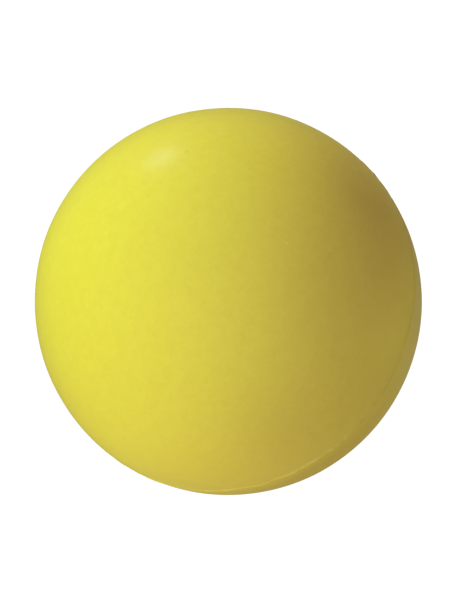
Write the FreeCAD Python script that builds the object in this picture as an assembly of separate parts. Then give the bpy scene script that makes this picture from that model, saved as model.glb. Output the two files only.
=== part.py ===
import FreeCAD, Part
import math
import os

# A squeezable stress ball, moulded in flexible polyurethane foam. Dimensions are in millimetres.
# The origin is the ball's centre. The two halves of the mould meet on the XY plane, so the parting
# line runs round the equator, and +Z points out of the mould's upper half.
#
# From the outside in, the ball is a thin coloured coat, a dense skin and an open-cell foam core.
# Between the two halves of the coat and skin stands the parting bead, the web of solid urethane
# that the closing mould squeezed out and that was then trimmed nearly flush.

BALL_DIAMETER = 63.0
COAT_THICKNESS = 0.25       # sprayed into each mould half before the foam is poured
SKIN_THICKNESS = 1.5        # foam that stays dense against the cool mould
CORE_CLEARANCE = 0.05       # between the core and the skins, which move separately when squeezed
WEB_THICKNESS = 0.40        # of the parting bead, where it passes between the two halves
WEB_CLEARANCE = 0.02        # between the bead's web and each half
BEAD_HEIGHT = 0.12          # how far the trimmed bead stands proud of the coat

BALL_RADIUS = BALL_DIAMETER / 2
SKIN_RADIUS = BALL_RADIUS - COAT_THICKNESS
SKIN_INNER_RADIUS = SKIN_RADIUS - SKIN_THICKNESS
CORE_RADIUS = SKIN_INNER_RADIUS - CORE_CLEARANCE
HALF_START = WEB_THICKNESS / 2 + WEB_CLEARANCE      # height at which each half begins

CENTRE = FreeCAD.Vector(0, 0, 0)
AXIS_X = FreeCAD.Vector(1, 0, 0)
AXIS_Z = FreeCAD.Vector(0, 0, 1)
HALF_TURN = 180
FULL_TURN = 360


def point_on_circle(radius, height):
    """The point of the XZ half-plane that lies on a circle about the centre, at a given height."""
    return FreeCAD.Vector(math.sqrt(radius**2 - height**2), 0, height)


def arc_to_pole(radius, height):
    """The arc about the centre from a given height up to the pole."""
    start_angle = math.asin(height / radius)
    middle_angle = (start_angle + math.pi / 2) / 2
    middle = FreeCAD.Vector(radius * math.cos(middle_angle), 0, radius * math.sin(middle_angle))
    return Part.Arc(point_on_circle(radius, height), middle, FreeCAD.Vector(0, 0, radius)).toShape()


def revolved(edges):
    """The solid swept by a closed outline in the XZ half-plane as it turns about Z."""
    outline = Part.Wire(Part.__sortEdges__(edges))
    return Part.Face(outline).revolve(CENTRE, AXIS_Z, FULL_TURN)


def upper_shell(outer_radius, inner_radius):
    """The upper half of a spherical layer, from the parting web to the pole."""
    edges = [
        arc_to_pole(outer_radius, HALF_START),
        arc_to_pole(inner_radius, HALF_START),
        Part.makeLine(FreeCAD.Vector(0, 0, inner_radius), FreeCAD.Vector(0, 0, outer_radius)),
        Part.makeLine(point_on_circle(inner_radius, HALF_START), point_on_circle(outer_radius, HALF_START)),
    ]
    return revolved(edges)


def turned_over(shape):
    """The same piece in the other mould half."""
    lower = shape.copy()
    lower.rotate(CENTRE, AXIS_X, HALF_TURN)
    return lower


def foam_core():
    """The open-cell foam that fills the ball and gives it its spring."""
    return Part.makeSphere(CORE_RADIUS)


def parting_bead():
    """The web between the two halves, with a rounded crest that stands just proud of the coat."""
    half_web = WEB_THICKNESS / 2
    shoulder_radius = math.sqrt(BALL_RADIUS**2 - half_web**2)
    inner_low = FreeCAD.Vector(SKIN_INNER_RADIUS, 0, -half_web)
    inner_high = FreeCAD.Vector(SKIN_INNER_RADIUS, 0, half_web)
    shoulder_low = FreeCAD.Vector(shoulder_radius, 0, -half_web)
    shoulder_high = FreeCAD.Vector(shoulder_radius, 0, half_web)
    crest = FreeCAD.Vector(BALL_RADIUS + BEAD_HEIGHT, 0, 0)
    edges = [
        Part.makeLine(inner_low, inner_high),
        Part.makeLine(inner_high, shoulder_high),
        Part.Arc(shoulder_high, crest, shoulder_low).toShape(),
        Part.makeLine(shoulder_low, inner_low),
    ]
    return revolved(edges)


def build():
    """Each piece of the ball, by the name of its node."""
    upper_skin = upper_shell(SKIN_RADIUS, SKIN_INNER_RADIUS)
    upper_coat = upper_shell(BALL_RADIUS, SKIN_RADIUS)
    return {
        "foam_core": foam_core(),
        "upper_skin": upper_skin,
        "lower_skin": turned_over(upper_skin),
        "upper_coat": upper_coat,
        "lower_coat": turned_over(upper_coat),
        "parting_bead": parting_bead(),
    }


def save(pieces):
    """Writes one STEP file per piece and prints what it holds."""
    os.makedirs("parts", exist_ok=True)
    for name, shape in pieces.items():
        if not shape.isValid() or len(shape.Solids) != 1:
            raise ValueError(f"{name} is not one valid solid")
        shape.exportStep(f"parts/{name}.step")
        print(f"{name}: {shape.Volume / 1000:.3f} cm3")


save(build())
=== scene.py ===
"""Looks for a moulded foam stress ball: its coat, parting bead, skin and core, lit on a pale floor.

Lengths are in metres unless a name ends in _MM. The CAD frame's origin is the ball's centre, and its
Z axis is the normal of the moulded parting plane. Every piece is built from nested round layers, so
one set of functions makes them all.
"""
import math

import bpy
import numpy as np
from mathutils import Matrix, Vector


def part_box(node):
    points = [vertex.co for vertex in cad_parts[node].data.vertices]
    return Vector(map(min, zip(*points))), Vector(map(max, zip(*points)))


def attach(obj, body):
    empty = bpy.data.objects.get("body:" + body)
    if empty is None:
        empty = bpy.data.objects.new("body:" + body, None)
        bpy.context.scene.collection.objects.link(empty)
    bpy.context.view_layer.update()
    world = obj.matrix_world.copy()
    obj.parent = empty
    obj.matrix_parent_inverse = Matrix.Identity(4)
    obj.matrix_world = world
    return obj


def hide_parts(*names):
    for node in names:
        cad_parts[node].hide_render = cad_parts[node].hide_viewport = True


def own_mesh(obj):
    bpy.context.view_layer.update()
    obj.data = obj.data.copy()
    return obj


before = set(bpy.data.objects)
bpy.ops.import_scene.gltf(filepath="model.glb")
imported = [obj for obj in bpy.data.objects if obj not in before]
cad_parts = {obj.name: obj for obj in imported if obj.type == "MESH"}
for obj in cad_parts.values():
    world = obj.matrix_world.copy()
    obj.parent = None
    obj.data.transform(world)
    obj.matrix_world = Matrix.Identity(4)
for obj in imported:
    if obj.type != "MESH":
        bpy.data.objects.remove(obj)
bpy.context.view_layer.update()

# ---------------------------------------------------------------- sizes, from the frame

MM = 0.001
BALL_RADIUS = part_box("upper_coat")[1].z
COAT_INNER_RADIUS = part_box("upper_skin")[1].z
CORE_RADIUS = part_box("foam_core")[1].z
HALF_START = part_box("upper_coat")[0].z              # how far above the parting plane the half begins
WEB_HALF_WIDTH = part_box("parting_bead")[1].z        # of the bead's web, between the two halves
BEAD_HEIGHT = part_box("parting_bead")[1].x - BALL_RADIUS

BOND_GAP = 0.01 * MM            # drawn between layers that are bonded, so that faces never coincide
CORE_GAP = 0.05 * MM            # between the core and the skin, as in the frame
SKIN_OUTER_RADIUS = COAT_INNER_RADIUS - BOND_GAP
SKIN_INNER_RADIUS = CORE_RADIUS + CORE_GAP

# ---------------------------------------------------------------- surface detail

COAT_RINGS = 104                # rings of quads from the pole of each half to its edge
SKIN_RINGS = 60
CORE_RINGS = 90
EDGE_CROWDING = 0.78            # how much closer together the coat's last rings are
CROWDED_FROM, CROWDED_BY = 0.80, 0.93   # where that sets in, as a share of the way to its edge

FORM_WAVE, FORM_HEIGHT = 17 * MM, 0.012 * MM        # how far the moulding is out of round
SWELL_WAVE, SWELL_HEIGHT = 5.5 * MM, 0.0020 * MM    # slow waves in the coat
PEEL_WAVE, PEEL_HEIGHT = 2.2 * MM, 0.0005 * MM      # orange peel
ROLL_HEIGHT, ROLL_WIDTH = 0.022 * MM, 0.75 * MM     # the coat's swelling at the parting line

# Marks in the coat: azimuth and latitude in degrees, radius and height in mm, and how dark each is.
# A height below nothing is a pit.
MARKS = [
    (29.3, 60.2, 0.32, -0.013, 0.18),
    (18, 62, 0.30, -0.004, 0.05),
    (-50, 53, 0.22, 0.012, -0.50),
    (171.5, 44.6, 0.24, 0.010, -0.40),
    (-79, 16, 0.22, -0.006, 0.14),
    (-117, 63, 0.20, -0.005, 0.09),
    (-60, 14, 0.28, 0.010, -0.25),
    (-51, 40, 0.18, -0.008, 0.18),
    (-86, 14, 0.16, 0.008, -0.22),
    (-69, 6, 0.16, 0.008, -0.22),
    (-96, 30, 0.20, -0.006, 0.12),
    (-62, 27, 0.22, 0.008, -0.15),
]
FAR_MARKS = 12                  # more of them, scattered over the rest of the ball
FAR_MARK_RISE = -0.03           # how high those stand in mm, as a share of how dark they are
GATHER_REACH = 3.0 * MM         # the mesh is drawn in around each mark, from this far away
GATHER_SHARE = 0.35

BEAD_STEPS = 2200               # round the parting bead
BEAD_ROWS = 19                  # across its outer face
BEAD_FOOT = 0.80 * MM           # half its width, where it feathers out on the coat
CREST_WIDTH = 0.42 * MM         # from the middle of its crest to where that has mostly fallen away
CREST_SHARPNESS = 2.4
SOIL_AND_SHADE_WIDTH = 0.55 * MM         # how far dirt and painted shade spread to each side of its crest
BEAD_SINK = 0.010 * MM          # how far its feathered edges lie under the coat's surface
BEAD_ROOT_DEPTH = 0.12 * MM     # how far under the coat's surface its web begins


class Waves:
    """A smooth random field of unit spread: plane waves of about one length, in every direction."""

    def __init__(self, seed, length, count=48):
        draw = np.random.default_rng(seed)
        ways = draw.normal(size=(count, 3))
        ways /= np.linalg.norm(ways, axis=1, keepdims=True)
        self.waves = ways * 2 * np.pi / length * draw.uniform(0.7, 1.4, (count, 1))
        self.phases = draw.uniform(0, 2 * np.pi, count)
        self.scale = math.sqrt(2 / count)

    def __call__(self, points):
        return np.cos(points @ self.waves.T + self.phases).sum(axis=1) * self.scale


def direction(azimuth, latitude):
    """The unit vector at an azimuth and a latitude in degrees."""
    a, b = math.radians(azimuth), math.radians(latitude)
    return np.array([math.cos(a) * math.cos(b), math.sin(a) * math.cos(b), math.sin(b)])


def unit(vectors):
    return vectors / np.linalg.norm(vectors, axis=-1, keepdims=True)


def smooth_step(values, low, high):
    t = np.clip((values - low) / (high - low), 0, 1)
    return t * t * (3 - 2 * t)


def scatter_marks(count, seed):
    """Small marks all over the half of the ball that faces down and back, clear of its bead."""
    draw = np.random.default_rng(seed)
    front = direction(-90, 60)
    found = []
    while len(found) < count:
        azimuth = draw.uniform(-180, 180)
        latitude = math.degrees(math.asin(draw.uniform(-0.95, 0.95)))
        if direction(azimuth, latitude) @ front > 0 or abs(latitude) < 4:
            continue
        dark = draw.choice([0.2, 0.3, -0.35])
        radius = draw.uniform(0.18, 0.32)
        found.append((azimuth, latitude, radius, FAR_MARK_RISE * dark, dark))
    return found


MARKS += scatter_marks(FAR_MARKS, 5)

form = Waves(11, FORM_WAVE)
swell = Waves(12, SWELL_WAVE)
peel = Waves(13, PEEL_WAVE, 90)


def mark_shapes(ways):
    """(height of the marks at each direction, how dark they make it)."""
    height, shade = np.zeros(len(ways)), np.zeros(len(ways))
    for azimuth, latitude, radius, rise, dark in MARKS:
        away = np.linalg.norm(ways - direction(azimuth, latitude), axis=1) * BALL_RADIUS
        bell = np.exp(-((away / (radius * MM)) ** 2))
        height += rise * MM * bell
        shade += dark * bell
    return height, shade


def coat_relief(ways):
    """How far the coat's surface stands off the true ball, in each direction."""
    points = ways * BALL_RADIUS
    waves = FORM_HEIGHT * form(points) + SWELL_HEIGHT * swell(points) + PEEL_HEIGHT * peel(points)
    roll = ROLL_HEIGHT * np.exp(-((points[:, 2] / ROLL_WIDTH) ** 2))
    return waves + roll + mark_shapes(ways)[0]


# ---------------------------------------------------------------- mesh building

def cap_grid(rings, edge_height, radius, edge_crowding=0.0):
    """Directions on a half ball, as a square grid whose concentric squares are rings about the pole.

    The outermost ring lies at edge_height above the parting plane on a ball of the given radius.
    """
    steps = np.arange(-rings, rings + 1)
    across, along = np.meshgrid(steps, steps, indexing="ij")
    ring = np.maximum(abs(across), abs(along))
    safe = np.maximum(ring, 1)
    quarter = math.pi / 4
    turn = np.where(
        abs(across) >= abs(along),
        np.where(across < 0, math.pi, 0) + quarter * along * np.sign(across) / safe,
        np.where(along < 0, -2, 2) * quarter - quarter * across * np.sign(along) / safe,
    )
    gaps = 1 - edge_crowding * smooth_step((np.arange(rings) + 0.5) / rings, CROWDED_FROM, CROWDED_BY)
    reach = np.concatenate([[0], np.cumsum(gaps)]) / gaps.sum()
    polar = math.acos(edge_height / radius) * reach[ring]
    ways = np.stack(
        [np.sin(polar) * np.cos(turn), np.sin(polar) * np.sin(turn), np.cos(polar)], axis=-1
    )
    return ways.reshape(-1, 3)


def grid_faces(rings):
    """The quads of a cap_grid, seen from outside."""
    side = 2 * rings + 1
    index = np.arange(side * side).reshape(side, side)
    corners = index[:-1, :-1], index[1:, :-1], index[1:, 1:], index[:-1, 1:]
    return np.stack([c.ravel() for c in corners], axis=1)


def grid_edge(rings):
    """The points of a cap_grid's outermost ring, in order, anticlockwise from above."""
    side = 2 * rings + 1
    index = np.arange(side * side).reshape(side, side)
    return np.concatenate([index[:-1, 0], index[-1, :-1], index[:0:-1, -1], index[0, :0:-1]])


def strip(first, second):
    """Quads between two closed rows of points."""
    return np.stack([first, np.roll(first, -1), np.roll(second, -1), second], axis=1)


def gathered(ways):
    """The same directions, drawn in around each mark so that the mesh is finer there."""
    for azimuth, latitude, *_ in MARKS:
        centre = direction(azimuth, latitude)
        offset = ways - centre
        share = np.linalg.norm(offset, axis=1) * BALL_RADIUS / GATHER_REACH
        pull = GATHER_SHARE + (1 - GATHER_SHARE) * smooth_step(share, 0, 1)
        ways = unit(centre + offset * pull[:, None])
    return ways


def turned_over(ways):
    """The same directions in the lower half."""
    return ways * np.array([1, -1, -1])


def new_piece(name, points, faces, material, crease_degrees=40):
    """A smooth-shaded object that remembers where its surface lies at rest."""
    mesh = bpy.data.meshes.new(name)
    mesh.from_pydata(points.tolist(), [], faces.tolist())
    mesh.update()
    mesh.shade_smooth()
    mesh.set_sharp_from_angle(angle=math.radians(crease_degrees))
    rest = mesh.attributes.new("rest_mm", "FLOAT_VECTOR", "POINT")
    rest.data.foreach_set("vector", (points / MM).astype(np.float32).ravel())
    mesh.materials.append(material)
    piece = bpy.data.objects.new(name, mesh)
    bpy.context.scene.collection.objects.link(piece)
    return piece


def paint(piece, name, values):
    """Stores one number per point, for the material to read."""
    attribute = piece.data.attributes.new(name, "FLOAT", "POINT")
    attribute.data.foreach_set("value", values.astype(np.float32))


def half_layer(rings, outer_radius, outer_relief, inner_radius, inner_relief, upper,
               edge_crowding=0.0, refine=None):
    """(points, quads, directions of the outer points) of half a hollow ball with a flat rim."""
    outer_ways = cap_grid(rings, HALF_START, outer_radius, edge_crowding)
    inner_ways = cap_grid(rings, HALF_START, inner_radius, edge_crowding)
    if not upper:
        outer_ways, inner_ways = turned_over(outer_ways), turned_over(inner_ways)
    if refine:
        outer_ways = refine(outer_ways)
    outer = outer_ways * (outer_radius + outer_relief(outer_ways))[:, None]
    inner = inner_ways * (inner_radius + inner_relief(inner_ways))[:, None]
    edge = grid_edge(rings)
    faces = np.concatenate(
        [
            grid_faces(rings),
            grid_faces(rings)[:, ::-1] + len(outer),
            strip(edge, edge + len(outer))[:, ::-1],
        ]
    )
    return np.concatenate([outer, inner]), faces, outer_ways


def smooth_inside(ways):
    return np.zeros(len(ways))


# ---------------------------------------------------------------- materials

class Nodes:
    """A material's nodes, with one short call for each."""

    def __init__(self, name):
        self.material = bpy.data.materials.new(name)
        self.material.use_nodes = True
        self.tree = self.material.node_tree
        self.surface = self.tree.nodes["Principled BSDF"]

    def add(self, kind, settings=None, **inputs):
        """A new node. Each input is a value or the socket that feeds it."""
        node = self.tree.nodes.new(kind)
        for key, value in (settings or {}).items():
            setattr(node, key, value)
        for key, value in inputs.items():
            self.set(node, key.replace("_", " "), value)
        return node

    def set(self, node, key, value):
        socket = node.inputs[int(key)] if key.isdigit() else node.inputs[key]
        if isinstance(value, bpy.types.NodeSocket):
            self.tree.links.new(value, socket)
        else:
            socket.default_value = value

    def rest(self):
        """Where the surface lay at rest, in mm, so that the pattern stays put in a squeeze."""
        return self.add("ShaderNodeAttribute", {"attribute_name": "rest_mm"}).outputs["Vector"]

    def number(self, name):
        return self.add("ShaderNodeAttribute", {"attribute_name": name}).outputs["Fac"]

    def noise(self, vector, per_mm, detail=2.0, roughness=0.5, distortion=0.0):
        node = self.add(
            "ShaderNodeTexNoise",
            Vector=vector, Scale=per_mm, Detail=detail, Roughness=roughness, Distortion=distortion,
        )
        return node.outputs["Fac"]

    def ramp(self, value, low, high, to_low=0.0, to_high=1.0):
        """value from low..high to to_low..to_high, held beyond them."""
        node = self.add("ShaderNodeMapRange", {"interpolation_type": "LINEAR"}, Value=value)
        for key, number in zip(("From Min", "From Max", "To Min", "To Max"),
                               (low, high, to_low, to_high)):
            node.inputs[key].default_value = number
        return node.outputs["Result"]

    def math(self, operation, first, second=0.0):
        node = self.add("ShaderNodeMath", {"operation": operation})
        self.set(node, "0", first)
        self.set(node, "1", second)
        return node.outputs[0]

    def mix(self, share, first, second):
        """A colour between two colours."""
        node = self.add("ShaderNodeMix", {"data_type": "RGBA"})
        self.set(node, "0", share)
        self.set(node, "6", first)
        self.set(node, "7", second)
        return node.outputs[2]

    def mix_either_way(self, value, color, above, below):
        """The colour, mixed with one colour where value is above nothing and another below it."""
        color = self.mix(self.ramp(value, 0, 1), color, above)
        return self.mix(self.ramp(self.math("MULTIPLY", value, -1.0), 0, 1), color, below)

    def bump(self, height, distance):
        return self.add("ShaderNodeBump", Height=height, Distance=distance).outputs["Normal"]

    def finish(self, color, roughness, normal, **fixed):
        """Feeds the surface, and sets what is the same all over it."""
        self.set(self.surface, "Base Color", color)
        self.set(self.surface, "Roughness", roughness)
        self.set(self.surface, "Normal", normal)
        for key, value in fixed.items():
            self.surface.inputs[key.replace("_", " ")].default_value = value
        return self.material


COAT_COLOR = (0.720, 0.696, 0.0612, 1)
COAT_DEEP = (0.69, 0.65, 0.052, 1)          # clouds
COAT_LIGHT = (0.81, 0.79, 0.072, 1)         # mottle and grain
COAT_LOWER_PAINTED_SHADE = (0.50, 0.41, 0.015, 1)          # painted shade under the parting line
PALE_SCUFF_AND_PAINTED_LIGHT = (0.86, 0.88, 0.150, 1)          # scuffed; also the paler painted reflection under the parting line and part of the painted highlight on the bead's crest
# painted shade, in broad patches
COAT_PATCH_PAINTED_SHADE = (0.50, 0.40, 0.056, 1)
# painted light, in broad patches
COAT_PATCH_PAINTED_LIGHT = (0.86, 0.89, 0.075, 1)
# dirt in specks and marks; on the bead also painted shade along its flank and in its nicks
GRIME_AND_PAINTED_SHADE = (0.34, 0.27, 0.050, 1)
FOAM_COLOR = (0.80, 0.73, 0.42, 1)
# painted shade in the open cells' pores
FOAM_PORE_SHADE = (0.45, 0.37, 0.14, 1)

# The coat's patterns: how many to the millimetre, and how much of their colour they mix in.
CLOUDS_PER_MM, CLOUDS_SHARE = 0.11, 0.15
MOTTLE_PER_MM, MOTTLE_SHARE = 0.6, 0.30
GRAIN_PER_MM, GRAIN_SHARE = 1.6, 0.22
SPECKS_PER_MM, SPECKS_SHARE = 2.9, 0.07
GRAIN_DEPTH = 0.0008 * MM
FINE_GRAIN_PER_MM, FINE_GRAIN_SHARE = 5.0, 0.25
SMOOTH_ROUGHNESS, SCUFFED_ROUGHNESS = 0.285, 0.300
CLOUDS_ROUGHNESS = 0.005                    # how far the clouds change it either way
COAT_FINISH = {"IOR": 1.47, "Specular_IOR_Level": 0.3}
CREST_ROUGHNESS = 0.2                       # how much rougher the bead's crest is than the coat
CREST_GRAIN_SHARE = 9.0                     # and how much deeper its grain is
FOAM_IOR = 1.45


def coat_pattern(n):
    """(colour, roughness, height) of the satin coat: clouds, mottle, grain, specks and scuffs, with broad
    patches of painted light and shade, and painted shade and reflection under the parting line.
    """
    rest = n.rest()
    clouds = n.noise(rest, CLOUDS_PER_MM, 3.0, 0.55)
    mottle = n.noise(rest, MOTTLE_PER_MM, 2.0, 0.6)
    grain = n.noise(rest, GRAIN_PER_MM, 2.0, 0.6)
    specks = n.noise(rest, SPECKS_PER_MM, 0.0)
    fine_grain = n.noise(rest, FINE_GRAIN_PER_MM, 1.0)
    streaks = n.add("ShaderNodeMapping", Vector=rest, Scale=(0.5, 2.6, 1.1)).outputs[0]
    scuffs = n.noise(streaks, 0.5, 2.0, 0.5, 1.5)

    color = n.mix(n.ramp(clouds, 0.35, 0.65, 0, CLOUDS_SHARE), COAT_COLOR, COAT_DEEP)
    color = n.mix(n.ramp(mottle, 0.3, 0.7, 0, MOTTLE_SHARE), color, COAT_LIGHT)
    color = n.mix(n.ramp(grain, 0.3, 0.7, 0, GRAIN_SHARE), color, COAT_LIGHT)
    color = n.mix(n.ramp(specks, 0.80, 0.88, 0, SPECKS_SHARE), color, GRIME_AND_PAINTED_SHADE)
    # Broad patches of painted shade, and below nothing of painted light.
    painted_light_and_shade = n.math("MULTIPLY", n.number("painted_light_and_shade"), n.ramp(clouds, 0.3, 0.7, 0.8, 1.2))
    color = n.mix_either_way(painted_light_and_shade, color, COAT_PATCH_PAINTED_SHADE, COAT_PATCH_PAINTED_LIGHT)
    # Painted shade under the parting line, and below nothing a paler, bluer painted reflection.
    color = n.mix_either_way(n.number("painted_shading"), color, COAT_LOWER_PAINTED_SHADE, PALE_SCUFF_AND_PAINTED_LIGHT)

    scuffed = n.ramp(scuffs, 0.5, 0.75, SMOOTH_ROUGHNESS, SCUFFED_ROUGHNESS)
    clouded = n.ramp(clouds, 0.3, 0.7, -CLOUDS_ROUGHNESS, CLOUDS_ROUGHNESS)
    height = n.math("ADD", grain, n.math("MULTIPLY", fine_grain, FINE_GRAIN_SHARE))
    return color, n.math("ADD", scuffed, clouded), height


def coat_material():
    n = Nodes("satin_coat")
    color, roughness, height = coat_pattern(n)
    color = n.mix_either_way(n.number("mark"), color, GRIME_AND_PAINTED_SHADE, PALE_SCUFF_AND_PAINTED_LIGHT)
    return n.finish(color, roughness, n.bump(height, GRAIN_DEPTH), **COAT_FINISH)


def bead_material():
    """The trimmed bead: coated like the rest at its feathered edges. Its crest is worn pale in places,
    partly as a painted highlight, and grimy in others, partly as painted shade.
    """
    n = Nodes("trimmed_bead")
    color, roughness, height = coat_pattern(n)
    rest, crest = n.rest(), n.number("crest")
    # The crest's pale wear is partly a painted highlight on its lit side.
    rubbed_and_lit = n.ramp(n.noise(rest, 0.55, 3.0, 0.6), 0.40, 0.62, 0.15, 1.3)
    # Dirt on the bead, partly painted shade along its flank and in its nicks.
    smeared_and_shaded = n.ramp(n.noise(rest, 1.1, 3.0, 0.6), 0.3, 0.65, 0.45, 1)
    color = n.mix(n.math("MULTIPLY", n.number("worn_and_painted_highlight"), rubbed_and_lit), color, PALE_SCUFF_AND_PAINTED_LIGHT)
    color = n.mix(n.math("MULTIPLY", n.number("soiled_and_painted_shade"), smeared_and_shaded), color, GRIME_AND_PAINTED_SHADE)
    roughness = n.math("ADD", roughness, n.math("MULTIPLY", crest, CREST_ROUGHNESS))
    coarse = n.math("MULTIPLY", n.noise(rest, 3.5, 3.0), crest)
    height = n.math("ADD", height, n.math("MULTIPLY", coarse, CREST_GRAIN_SHARE))
    return n.finish(color, roughness, n.bump(height, GRAIN_DEPTH), **COAT_FINISH)


def foam_material(name, cells_per_mm, pore_depth, pore_shade_share):
    """Cut or bare urethane foam, with open cells whose pores are darkened with painted shade."""
    n = Nodes(name)
    rest = n.rest()
    cells = n.add("ShaderNodeTexVoronoi", Vector=rest, Scale=cells_per_mm).outputs["Distance"]
    coarse = n.noise(rest, 0.35, 3.0)
    # Painted shade in the pores, where the cells are recessed.
    pores = n.ramp(cells, 0.15, 0.5, pore_shade_share, 0)
    color = n.mix(pores, FOAM_COLOR, FOAM_PORE_SHADE)
    color = n.mix(n.ramp(coarse, 0.35, 0.7, 0, 0.25), color, PALE_SCUFF_AND_PAINTED_LIGHT)
    roughness = n.ramp(cells, 0.1, 0.6, 0.95, 0.8)
    return n.finish(color, roughness, n.bump(cells, pore_depth), IOR=FOAM_IOR)


coat = coat_material()
bead = bead_material()
dense_foam = foam_material("dense_foam", cells_per_mm=2.2, pore_depth=0.10 * MM, pore_shade_share=0.5)
open_foam = foam_material("open_foam", cells_per_mm=1.1, pore_depth=0.35 * MM, pore_shade_share=0.9)


# ---------------------------------------------------------------- the pieces

# Just under the parting line the lower coat carries painted shade in some places and a paler, bluer
# painted reflection in others: how much, at azimuths in degrees. It fades out further down.
LOWER_PAINTED_SHADING = ((-180, 0.0), (-160, 0.0), (-145, 0.15), (-125, 0.42), (-108, 0.50), (-94, 0.32),
               (-82, 0.02), (-70, -0.40), (-52, -0.90), (-32, -0.62), (0, 0.06), (60, 0.22),
               (120, 0.04), (180, 0.0))
PAINTED_SHADING_RISE, PAINTED_SHADING_FADE = (-3, 8), (12, 30)    # degrees of latitude below the parting line


def round_the_ball(table, turns):
    """The values of a table of azimuths in degrees, at azimuths in radians."""
    return np.interp(np.degrees(turns), *zip(*table))


def lower_painted_shading(ways):
    """How much painted shade the lower coat has in each direction, or below nothing how much paler painted
    reflection.
    """
    below = -np.degrees(np.arcsin(ways[:, 2]))
    band = smooth_step(below, *PAINTED_SHADING_RISE) * (1 - smooth_step(below, *PAINTED_SHADING_FADE)) * (below > 0)
    return round_the_ball(LOWER_PAINTED_SHADING, np.arctan2(ways[:, 1], ways[:, 0])) * band


# Broad faint patches of painted shade, where the coat is duller, or below nothing of painted light, where
# it is brighter: azimuth, latitude and spread in degrees, and how strong each is.
PAINTED_LIGHT_AND_SHADE_PATCHES = ((-25, 23, 15, 0.30), (-48, 4, 12, -0.8), (-66, 9, 13, -0.95), (-110, 22, 16, 0.16),
           (-168, -6, 24, -1.0))


def painted_light_and_shade_patches(ways):
    """How much painted shade dulls the coat in each direction, or below nothing how much painted light
    brightens it.
    """
    strength = np.zeros(len(ways))
    for azimuth, latitude, spread, share in PAINTED_LIGHT_AND_SHADE_PATCHES:
        apart = np.degrees(np.arccos((ways @ direction(azimuth, latitude)).clip(-1, 1)))
        strength += share * np.exp(-((apart / spread) ** 2))
    return strength


def make_coat(name, upper):
    points, faces, outer_ways = half_layer(
        COAT_RINGS, BALL_RADIUS, coat_relief, COAT_INNER_RADIUS, smooth_inside, upper,
        EDGE_CROWDING, gathered,
    )
    piece = new_piece(name, points, faces, coat)
    inside = np.zeros(len(points) - len(outer_ways))
    paint(piece, "mark", np.concatenate([mark_shapes(outer_ways)[1], inside]))
    # Painted shade and painted reflection under the parting line.
    paint(piece, "painted_shading", np.concatenate([lower_painted_shading(outer_ways), inside]))
    # Broad patches of painted light and painted shade.
    paint(piece, "painted_light_and_shade", np.concatenate([painted_light_and_shade_patches(outer_ways), inside]))
    return piece


SKIN_FACE_HEIGHT = 0.01 * MM    # how uneven the skin is where it meets the coat
SKIN_BACK_HEIGHT = 0.03 * MM    # and where it turns into open foam
CORE_PORE_DEPTH, CORE_SWELL_HEIGHT = 0.22 * MM, 0.01 * MM
skin_lumps = Waves(21, 3.2 * MM)
core_lumps = Waves(22, 2.6 * MM, 80)
core_swell = Waves(23, 9 * MM)


def skin_relief(ways):
    """The skin's outer face, all of it sunk clear of the coat."""
    return -SKIN_FACE_HEIGHT * (1 + 0.5 * np.tanh(skin_lumps(ways * SKIN_OUTER_RADIUS)))


def skin_inner_relief(ways):
    """The skin's inner face, all of it raised clear of the core."""
    return SKIN_BACK_HEIGHT * (1 + np.tanh(skin_lumps(ways * SKIN_INNER_RADIUS)))


def core_relief(ways):
    """The core's face: open cells, all sunk into the true ball."""
    points = ways * CORE_RADIUS
    pores = smooth_step(core_lumps(points), 0.4, 1.6)
    return -CORE_PORE_DEPTH * pores - CORE_SWELL_HEIGHT * (1 + np.tanh(core_swell(points)))


def make_skin(name, upper):
    points, faces, _ = half_layer(
        SKIN_RINGS, SKIN_OUTER_RADIUS, skin_relief, SKIN_INNER_RADIUS, skin_inner_relief, upper
    )
    return new_piece(name, points, faces, dense_foam)


def make_core(name):
    """A whole ball: two caps that share the ring where they meet."""
    upper = cap_grid(CORE_RINGS, 0.0, CORE_RADIUS)
    lower = upper * np.array([1, 1, -1])
    edge = grid_edge(CORE_RINGS)
    renumber = np.arange(len(lower)) + len(upper)
    renumber[edge] = edge
    kept = np.setdiff1d(np.arange(len(lower)), edge)
    renumber[kept] = len(upper) + np.arange(len(kept))
    ways = np.concatenate([upper, lower[kept]])
    quads = grid_faces(CORE_RINGS)
    faces = np.concatenate([quads, renumber[quads][:, ::-1]])
    return new_piece(name, ways * (CORE_RADIUS + core_relief(ways))[:, None], faces, open_foam)


# Round the ball, at azimuths in degrees: how high the bead stands as a share of its full height, how far
# its crest is worn pale, partly as a painted highlight, and how far dirt, partly painted shade, lies on
# it.
BEAD_STANDS = ((-180, 0.45), (-150, 0.55), (-120, 0.62), (-100, 0.50), (-90, 0.15), (-70, 0.12),
               (-50, 0.30), (-20, 0.40), (20, 0.50), (60, 0.35), (100, 0.55), (140, 0.40), (180, 0.45))
BEAD_WEAR_AND_HIGHLIGHT = ((-180, 0.20), (-160, 0.35), (-140, 0.50), (-105, 0.45), (-94, 0.10), (-60, 0.0),
             (-20, 0.1), (40, 0.30), (90, 0.10), (140, 0.30), (180, 0.20))
BEAD_DIRT_AND_SHADE = ((-180, 0.05), (-130, 0.0), (-92, 0.02), (-78, 0.09), (-70, 0.05), (-62, 0.14),
             (-56, 0.08), (-42, 0.16), (-20, 0.10), (30, 0.0), (90, 0.12), (140, 0.0), (180, 0.05))
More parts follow.
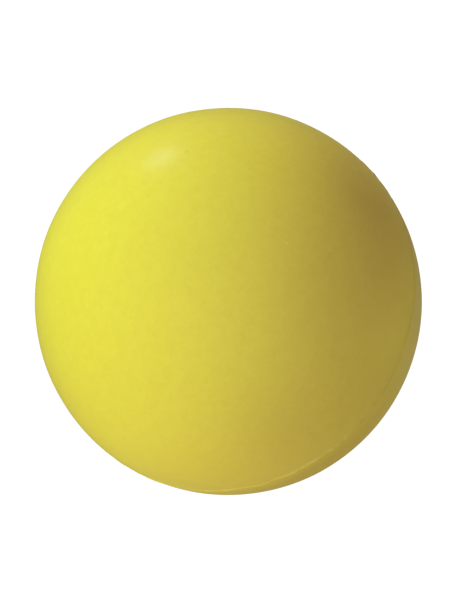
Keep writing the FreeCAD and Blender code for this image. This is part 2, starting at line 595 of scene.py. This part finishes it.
# Nicks that trimming left in it: azimuth, half width in degrees and the share cut away.
BEAD_NICKS = ((-100, 0.7, 0.6), (-92, 0.9, 0.8), (-85.5, 0.7, 1.0), (-81, 0.6, 0.9), (-78, 0.8, 1.0),
              (-62.5, 0.4, 1.0), (15, 1.0, 0.7), (47, 0.6, 0.6), (82, 1.3, 0.8), (131, 0.7, 0.7),
              (168, 1.0, 0.6))
NICK_DIRT_AND_SHADE = 0.3                 # how far dirt and painted shade fill a full nick
NICK_DEPTH = 0.25               # how far a full nick cuts under the coat, as a share of its height
bead_ripple = Waves(31, 2.6 * MM, 80)
bead_chatter = Waves(32, 1.1 * MM, 80)
bead_wander = Waves(33, 7 * MM)


def bead_nicks(turns):
    """How much of the bead each nick has taken at each azimuth, from 0 to 1."""
    cut = np.zeros(len(turns))
    for azimuth, half_width, share in BEAD_NICKS:
        cut = np.maximum(cut, share * np.exp(-(((np.degrees(turns) - azimuth) / half_width) ** 2)))
    return cut


def make_bead(name):
    """A ring whose section is a web between the two halves and a crest that feathers out on them."""
    turns = np.linspace(-math.pi, math.pi, BEAD_STEPS, endpoint=False)
    rim = np.stack([np.cos(turns), np.sin(turns), np.zeros(BEAD_STEPS)], axis=1) * BALL_RADIUS
    ripple, chatter, wander = bead_ripple(rim), bead_chatter(rim), bead_wander(rim)
    nicks = bead_nicks(turns)
    ragged = (1 + 0.34 * ripple + 0.16 * chatter).clip(0.2, 1.7)
    height = BEAD_HEIGHT * (round_the_ball(BEAD_STANDS, turns) * ragged * (1 - nicks) - NICK_DEPTH * nicks)
    middle = (0.16 * wander + 0.05 * ripple).clip(-0.3, 0.3) * MM
    width = CREST_WIDTH * (1 + 0.12 * ripple + 0.10 * chatter)
    shares = np.linspace(-1, 1, BEAD_ROWS)
    rows, crests, soil_and_shade_smears = [], [], []
    for share in shares:
        z = share * BEAD_FOOT + middle * (1 - share**2)
        ways = unit(np.stack([rim[:, 0], rim[:, 1], z], axis=1))
        crest = np.exp(-(abs((z - middle) / width) ** CREST_SHARPNESS))
        stand = coat_relief(ways) + height * crest + BEAD_SINK * (1 - 2 * share**2)
        rows.append(ways * (BALL_RADIUS + stand)[:, None])
        crests.append(crest)
        soil_and_shade_smears.append(np.exp(-(((z - middle) / SOIL_AND_SHADE_WIDTH) ** 2)) * (1 - share**4))
    for z, radius in (
        (WEB_HALF_WIDTH, BALL_RADIUS - BEAD_ROOT_DEPTH),
        (WEB_HALF_WIDTH, SKIN_INNER_RADIUS),
        (-WEB_HALF_WIDTH, SKIN_INNER_RADIUS),
        (-WEB_HALF_WIDTH, BALL_RADIUS - BEAD_ROOT_DEPTH),
    ):
        rows.append(rim * (radius / BALL_RADIUS) + np.array([0, 0, z]))
        crests.append(np.zeros(BEAD_STEPS))
        soil_and_shade_smears.append(np.zeros(BEAD_STEPS))
    index = np.arange(len(rows) * BEAD_STEPS).reshape(len(rows), BEAD_STEPS)
    faces = np.concatenate([strip(a, b) for a, b in zip(index, np.roll(index, -1, axis=0))])
    points = np.concatenate(rows)
    piece = new_piece(name, points, faces, bead)
    # Pale wear on the crest, partly a painted highlight.
    wear_and_highlight = round_the_ball(BEAD_WEAR_AND_HIGHLIGHT, turns) * (1 - nicks)
    # Dirt on the crest, partly painted shade, and painted shade in the nicks.
    dirt_and_shade = np.maximum(round_the_ball(BEAD_DIRT_AND_SHADE, turns), NICK_DIRT_AND_SHADE * nicks)
    # The bead's outer face carries the same painted shade and painted reflection as the lower coat.
    painted_shading = np.zeros(len(points))
    outside = BEAD_ROWS * BEAD_STEPS
    painted_shading[:outside] = lower_painted_shading(unit(points[:outside]))
    paint(piece, "crest", np.concatenate(crests))
    paint(piece, "worn_and_painted_highlight", np.concatenate(crests) * np.tile(wear_and_highlight, len(rows)))
    paint(piece, "soiled_and_painted_shade", np.concatenate(soil_and_shade_smears) * np.tile(dirt_and_shade, len(rows)))
    paint(piece, "painted_shading", painted_shading)
    # Broad patches of painted light and painted shade.
    paint(piece, "painted_light_and_shade", painted_light_and_shade_patches(unit(points)))
    return piece


# ---------------------------------------------------------------- how the pieces move


def place(piece, body, joint, anchor_height, material_slot, *nodes):
    """Rides the piece on its body, hides the frame's nodes that it stands for, and gives it a mesh of its
    own.
    """
    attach(piece, body)
    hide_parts(*nodes)
    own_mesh(piece)


upper_coat = make_coat("upper_coat_shell", True)
lower_coat = make_coat("lower_coat_shell", False)
upper_skin = make_skin("upper_skin_layer", True)
lower_skin = make_skin("lower_skin_layer", False)
foam_core = make_core("foam_core_body")
parting_bead = make_bead("parting_bead_ring")

place(upper_coat, "upper_half", "squeeze", BALL_RADIUS, "coat", "upper_coat")
place(lower_coat, "lower_half", "squeeze_lower", -BALL_RADIUS, "coat", "lower_coat")
place(upper_skin, "upper_half", "squeeze", BALL_RADIUS, "skin_foam", "upper_skin")
place(lower_skin, "lower_half", "squeeze_lower", -BALL_RADIUS, "skin_foam", "lower_skin")
place(foam_core, "core", "squeeze", 0, "core_foam", "foam_core")
place(parting_bead, "core", "squeeze", 0, "bead", "parting_bead")

# ---------------------------------------------------------------- camera

CAMERA_ELEVATION = math.radians(62.3)
CAMERA_ROLL = math.radians(50.5)    # how far +Z leans to the left of straight up in the picture
CAMERA_DISTANCE = 10 * BALL_RADIUS
SENSOR_MM = 36
BALL_SHARE_OF_HEIGHT = 0.6455       # the ball's width, as a share of the picture's height
FRAMING_SHIFT = (-0.0054, 0.0024)

toward_camera = Vector((0, -math.cos(CAMERA_ELEVATION), math.sin(CAMERA_ELEVATION)))
level_up = Vector((0, math.sin(CAMERA_ELEVATION), math.cos(CAMERA_ELEVATION)))
level_right = Vector((1, 0, 0))
picture_right = math.cos(CAMERA_ROLL) * level_right - math.sin(CAMERA_ROLL) * level_up
picture_up = math.cos(CAMERA_ROLL) * level_up + math.sin(CAMERA_ROLL) * level_right

camera = bpy.data.objects.new("camera", bpy.data.cameras.new("camera"))
bpy.context.scene.collection.objects.link(camera)
axes = Matrix((picture_right, picture_up, toward_camera)).transposed()
camera.matrix_world = Matrix.Translation(toward_camera * CAMERA_DISTANCE) @ axes.to_4x4()
tangent_length = math.sqrt(CAMERA_DISTANCE**2 - BALL_RADIUS**2) / BALL_RADIUS
camera.data.sensor_width = SENSOR_MM
camera.data.lens = SENSOR_MM * BALL_SHARE_OF_HEIGHT / 2 * tangent_length
camera.data.shift_x, camera.data.shift_y = FRAMING_SHIFT
camera.data.clip_start, camera.data.clip_end = 0.01, 10
bpy.context.scene.camera = camera

# ---------------------------------------------------------------- lights, floor and surroundings

LIGHT_DISTANCE = 12 * BALL_RADIUS

# Soft discs: azimuth and latitude in degrees, width in ball radii, brightness of the face and tint.
# Big diffusers shape the ball without mirroring in its coat, and the spark only mirrors in it.
DIFFUSERS = {
    "key": (135, 65, 12, 3.57, (0.91, 1.0, 0.78)),
    "back_fill": (60, 20, 12, 2.06, (0.94, 1.0, 0.74)),
    "far_fill": (0, 50, 12, 2.27, (0.49, 0.24, 1.0)),
    "front_fill": (240, 8, 12, 3.55, (0.58, 0.43, 1.0)),
    "side_fill": (180, 8, 12, 1.58, (1.0, 0.72, 0.67)),
}
SPARK = (64.0, 14.3, 2.3, 5.7, (0.50, 0.58, 1.0))
FLOOR_HALF_WIDTH = 60 * BALL_RADIUS
SHADOW_REACH = 0.22 * BALL_RADIUS
SHADOW_DEPTH, FLOOR_WHITE = 0.6, 1.05       # how bright the floor is seen in its shadow and clear of it
FLOOR_GLOW, FLOOR_TINT = 0.364, (1.0, 0.84, 0.38)
ROOM_GLOW, ROOM_TINT = 0.004, (1.0, 1.0, 1.0)


def soft_disc(name, azimuth, latitude, width, radiance, tint):
    """A soft disc light that faces the ball. radiance is how bright its face is."""
    way = Vector(direction(azimuth, latitude))
    size = width * BALL_RADIUS
    data = bpy.data.lights.new(name, "AREA")
    data.shape = "DISK"
    data.size = size
    data.energy = radiance * (math.pi * size / 2) ** 2
    data.color = tint
    data.cycles.use_multiple_importance_sampling = False
    light = bpy.data.objects.new(name, data)
    bpy.context.scene.collection.objects.link(light)
    light.location = way * LIGHT_DISTANCE
    light.rotation_mode = "QUATERNION"
    light.rotation_quaternion = (-way).to_track_quat("-Z", "Y")
    light.visible_camera = False
    return light


def seen_or_cast(tree, glow, tint, background):
    """(mix, shader the camera sees): the camera sees white, and the ball gets a tinted glow."""
    path = tree.nodes.new("ShaderNodeLightPath")
    choose = tree.nodes.new("ShaderNodeMixShader")
    kind = "ShaderNodeBackground" if background else "ShaderNodeEmission"
    cast, seen = tree.nodes.new(kind), tree.nodes.new(kind)
    cast.inputs["Color"].default_value = (*tint, 1)
    cast.inputs["Strength"].default_value = glow
    seen.inputs["Color"].default_value = (1, 1, 1, 1)
    tree.links.new(path.outputs["Is Camera Ray"], choose.inputs[0])
    tree.links.new(cast.outputs[0], choose.inputs[1])
    tree.links.new(seen.outputs[0], choose.inputs[2])
    return choose, seen


def pale_floor():
    """A white floor with a soft contact shadow, which lets the ball be seen from below."""
    mesh = bpy.data.meshes.new("floor")
    half = FLOOR_HALF_WIDTH
    corners = [(-half, -half), (half, -half), (half, half), (-half, half)]
    mesh.from_pydata([(x, y, -BALL_RADIUS) for x, y in corners], [], [(0, 1, 2, 3)])
    floor = bpy.data.objects.new("floor", mesh)
    bpy.context.scene.collection.objects.link(floor)
    material = bpy.data.materials.new("pale_floor")
    material.use_nodes = True
    tree = material.node_tree
    tree.nodes.clear()
    choose, seen = seen_or_cast(tree, FLOOR_GLOW, FLOOR_TINT, False)
    shadow = tree.nodes.new("ShaderNodeAmbientOcclusion")
    shadow.inputs["Distance"].default_value = SHADOW_REACH
    soften = tree.nodes.new("ShaderNodeMapRange")
    soften.inputs["To Min"].default_value = SHADOW_DEPTH
    soften.inputs["To Max"].default_value = FLOOR_WHITE
    tree.links.new(shadow.outputs["AO"], soften.inputs["Value"])
    tree.links.new(soften.outputs["Result"], seen.inputs["Strength"])
    geometry = tree.nodes.new("ShaderNodeNewGeometry")
    clear = tree.nodes.new("ShaderNodeBsdfTransparent")
    one_sided = tree.nodes.new("ShaderNodeMixShader")
    output = tree.nodes.new("ShaderNodeOutputMaterial")
    tree.links.new(geometry.outputs["Backfacing"], one_sided.inputs[0])
    tree.links.new(choose.outputs[0], one_sided.inputs[1])
    tree.links.new(clear.outputs[0], one_sided.inputs[2])
    tree.links.new(one_sided.outputs[0], output.inputs["Surface"])
    mesh.materials.append(material)


def pale_room():
    """A white surround."""
    world = bpy.data.worlds.new("room")
    bpy.context.scene.world = world
    world.use_nodes = True
    tree = world.node_tree
    tree.nodes.clear()
    choose, _ = seen_or_cast(tree, ROOM_GLOW, ROOM_TINT, True)
    output = tree.nodes.new("ShaderNodeOutputWorld")
    tree.links.new(choose.outputs[0], output.inputs["Surface"])


for name, settings in DIFFUSERS.items():
    soft_disc(name, *settings).visible_glossy = False
soft_disc("spark", *SPARK).visible_diffuse = False
pale_floor()
pale_room()

bpy.context.scene.view_settings.view_transform = "Standard"
